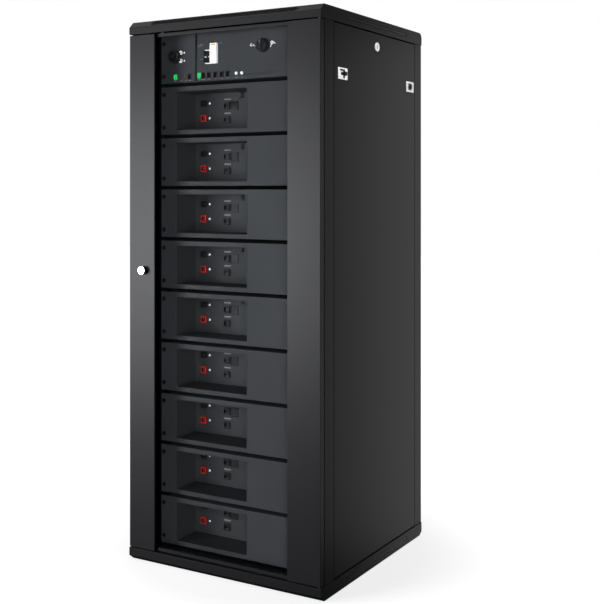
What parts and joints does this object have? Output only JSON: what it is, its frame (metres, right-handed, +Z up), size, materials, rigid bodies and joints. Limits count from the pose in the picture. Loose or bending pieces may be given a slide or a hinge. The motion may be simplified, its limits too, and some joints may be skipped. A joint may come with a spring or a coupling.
{
  "type": "battery rack cabinet",
  "caption": "Tall steel cabinet with a glass front door, a control box on top and stacked rack battery modules with deep connector bays.",
  "frame": {"origin": "centre of the footprint on the floor", "axes": "+X to the right seen from the front, +Y towards the back, +Z up; the glass door faces -Y"},
  "size_m": [0.614, 0.624, 1.465],
  "materials": {
    "frame_paint": "fine-texture black powder coat, low gloss",
    "door_paint": "fine-texture black powder coat, satin",
    "vent_screen": "black painted perforated sheet",
    "zinc_steel": "zinc-plated steel",
    "module_paint": "black powder-coated steel sheet",
    "cell_case": "aluminium cell can in blue insulating film",
    "copper_bar": "tinned copper bar",
    "circuit_board": "green solder-resist board",
    "black_plastic": "moulded black polyamide",
    "red_plastic": "moulded red polyamide",
    "green_plastic": "moulded green polyamide",
    "white_plastic": "moulded off-white plastic",
    "black_screws": "black-oxide steel screws",
    "door_glass": "lightly tinted toughened glass",
    "chrome_fittings": "polished nickel-chrome",
    "latch_black": "black moulded thumb slide with steel bolt"
  },
  "bodies": {
    "cabinet": {"base_plinth": "frame_paint", "roof_cover": "frame_paint", "vent_grilles": "vent_screen", "front_posts": "frame_paint", "rear_posts": "frame_paint", "top_rails": "frame_paint", "mounting_rails": "zinc_steel", "support_rails": "zinc_steel", "hinge_pins": "zinc_steel", "module_1_case": "module_paint", "module_2_case": "module_paint", "module_3_case": "module_paint", "module_4_case": "module_paint", "module_5_case": "module_paint", "module_6_case": "module_paint", "module_7_case": "module_paint", "module_8_case": "module_paint", "module_9_case": "module_paint", "module_bay_pans": "module_paint", "module_cells": "cell_case", "module_busbars": "copper_bar", "module_bms_boards": "circuit_board", "module_minus_connectors": "black_plastic", "module_plus_connectors": "red_plastic", "module_ports": "black_plastic", "module_indicators": "black_plastic", "rack_screws": "black_screws", "control_box_case": "module_paint", "control_box_front": "module_paint", "control_contactors": "black_plastic", "control_board": "circuit_board", "power_connector": "black_plastic", "breaker_body": "white_plastic", "terminal_blocks": "green_plastic", "control_ports": "black_plastic", "isolator_base": "black_plastic"},
    "breaker_toggle": {"breaker_toggle": "black_plastic"},
    "isolator_knob": {"isolator_knob": "black_plastic"},
    "button_start": {"button_start": "white_plastic"},
    "button_reset": {"button_reset": "white_plastic"},
    "front_door": {"door_stile_left": "door_paint", "door_stile_right": "door_paint", "door_rails": "black_plastic", "door_glass": "door_glass", "glass_retainers": "black_plastic", "front_lock_barrel": "chrome_fittings"},
    "front_lock": {"front_lock_cam": "chrome_fittings"},
    "rear_door": {"rear_door": "frame_paint", "rear_lock_barrel": "chrome_fittings"},
    "rear_lock": {"rear_lock_cam": "chrome_fittings"},
    "side_panel_left": {"side_panel_left": "frame_paint", "side_fittings_left": "chrome_fittings"},
    "side_panel_right": {"side_panel_right": "frame_paint", "side_fittings_right": "chrome_fittings"},
    "side_lock_left": {"side_lock_cam_left": "chrome_fittings"},
    "side_lock_right": {"side_lock_cam_right": "chrome_fittings"},
    "latch_front_left": {"latch_front_left": "latch_black"},
    "latch_rear_left": {"latch_rear_left": "latch_black"},
    "latch_front_right": {"latch_front_right": "latch_black"},
    "latch_rear_right": {"latch_rear_right": "latch_black"}
  },
  "joints": [
    {"name": "front_door_hinge", "type": "hinge", "parent": "cabinet", "child": "front_door", "pos_m": [0.2925, -0.2925, 0.732], "axis": [0, 0, 1], "range_deg": [0, 120]},
    {"name": "front_lock_turn", "type": "hinge", "parent": "front_door", "child": "front_lock", "pos_m": [-0.2495, -0.29, 0.791], "axis": [0, 1, 0], "range_deg": [0, 90]},
    {"name": "rear_door_hinge", "type": "hinge", "parent": "cabinet", "child": "rear_door", "pos_m": [0.255, 0.306, 0.732], "axis": [0, 0, -1], "range_deg": [0, 120]},
    {"name": "rear_lock_turn", "type": "hinge", "parent": "rear_door", "child": "rear_lock", "pos_m": [-0.228, 0.29, 0.791], "axis": [0, 1, 0], "range_deg": [0, 90]},
    {"name": "side_panel_left_pull", "type": "slide", "parent": "cabinet", "child": "side_panel_left", "axis": [-1, 0, 0], "range_m": [0, 0.25]},
    {"name": "side_panel_right_pull", "type": "slide", "parent": "cabinet", "child": "side_panel_right", "axis": [1, 0, 0], "range_m": [0, 0.25]},
    {"name": "side_lock_left_turn", "type": "hinge", "parent": "side_panel_left", "child": "side_lock_left", "pos_m": [-0.298, 0.008, 1.392], "axis": [1, 0, 0], "range_deg": [0, 90]},
    {"name": "side_lock_right_turn", "type": "hinge", "parent": "side_panel_right", "child": "side_lock_right", "pos_m": [0.298, 0.008, 1.392], "axis": [1, 0, 0], "range_deg": [0, 90]},
    {"name": "latch_front_left_slide", "type": "slide", "parent": "side_panel_left", "child": "latch_front_left", "axis": [0, -1, 0], "range_m": [0, 0.009]},
    {"name": "latch_rear_left_slide", "type": "slide", "parent": "side_panel_left", "child": "latch_rear_left", "axis": [0, 1, 0], "range_m": [0, 0.009]},
    {"name": "latch_front_right_slide", "type": "slide", "parent": "side_panel_right", "child": "latch_front_right", "axis": [0, -1, 0], "range_m": [0, 0.009]},
    {"name": "latch_rear_right_slide", "type": "slide", "parent": "side_panel_right", "child": "latch_rear_right", "axis": [0, 1, 0], "range_m": [0, 0.009]},
    {"name": "breaker_toggle_swing", "type": "hinge", "parent": "cabinet", "child": "breaker_toggle", "pos_m": [-0.0805, -0.239, 1.3626], "axis": [0, 0, 1], "range_deg": [0, 55]},
    {"name": "isolator_knob_turn", "type": "hinge", "parent": "cabinet", "child": "isolator_knob", "pos_m": [0.091, -0.24, 1.3826], "axis": [0, -1, 0], "range_deg": [0, 90]},
    {"name": "button_start_press", "type": "slide", "parent": "cabinet", "child": "button_start", "axis": [0, 1, 0], "range_m": [0, 0.0025], "stiffness_N_per_m": 600},
    {"name": "button_reset_press", "type": "slide", "parent": "cabinet", "child": "button_reset", "axis": [0, 1, 0], "range_m": [0, 0.0025], "stiffness_N_per_m": 600}
  ]
}
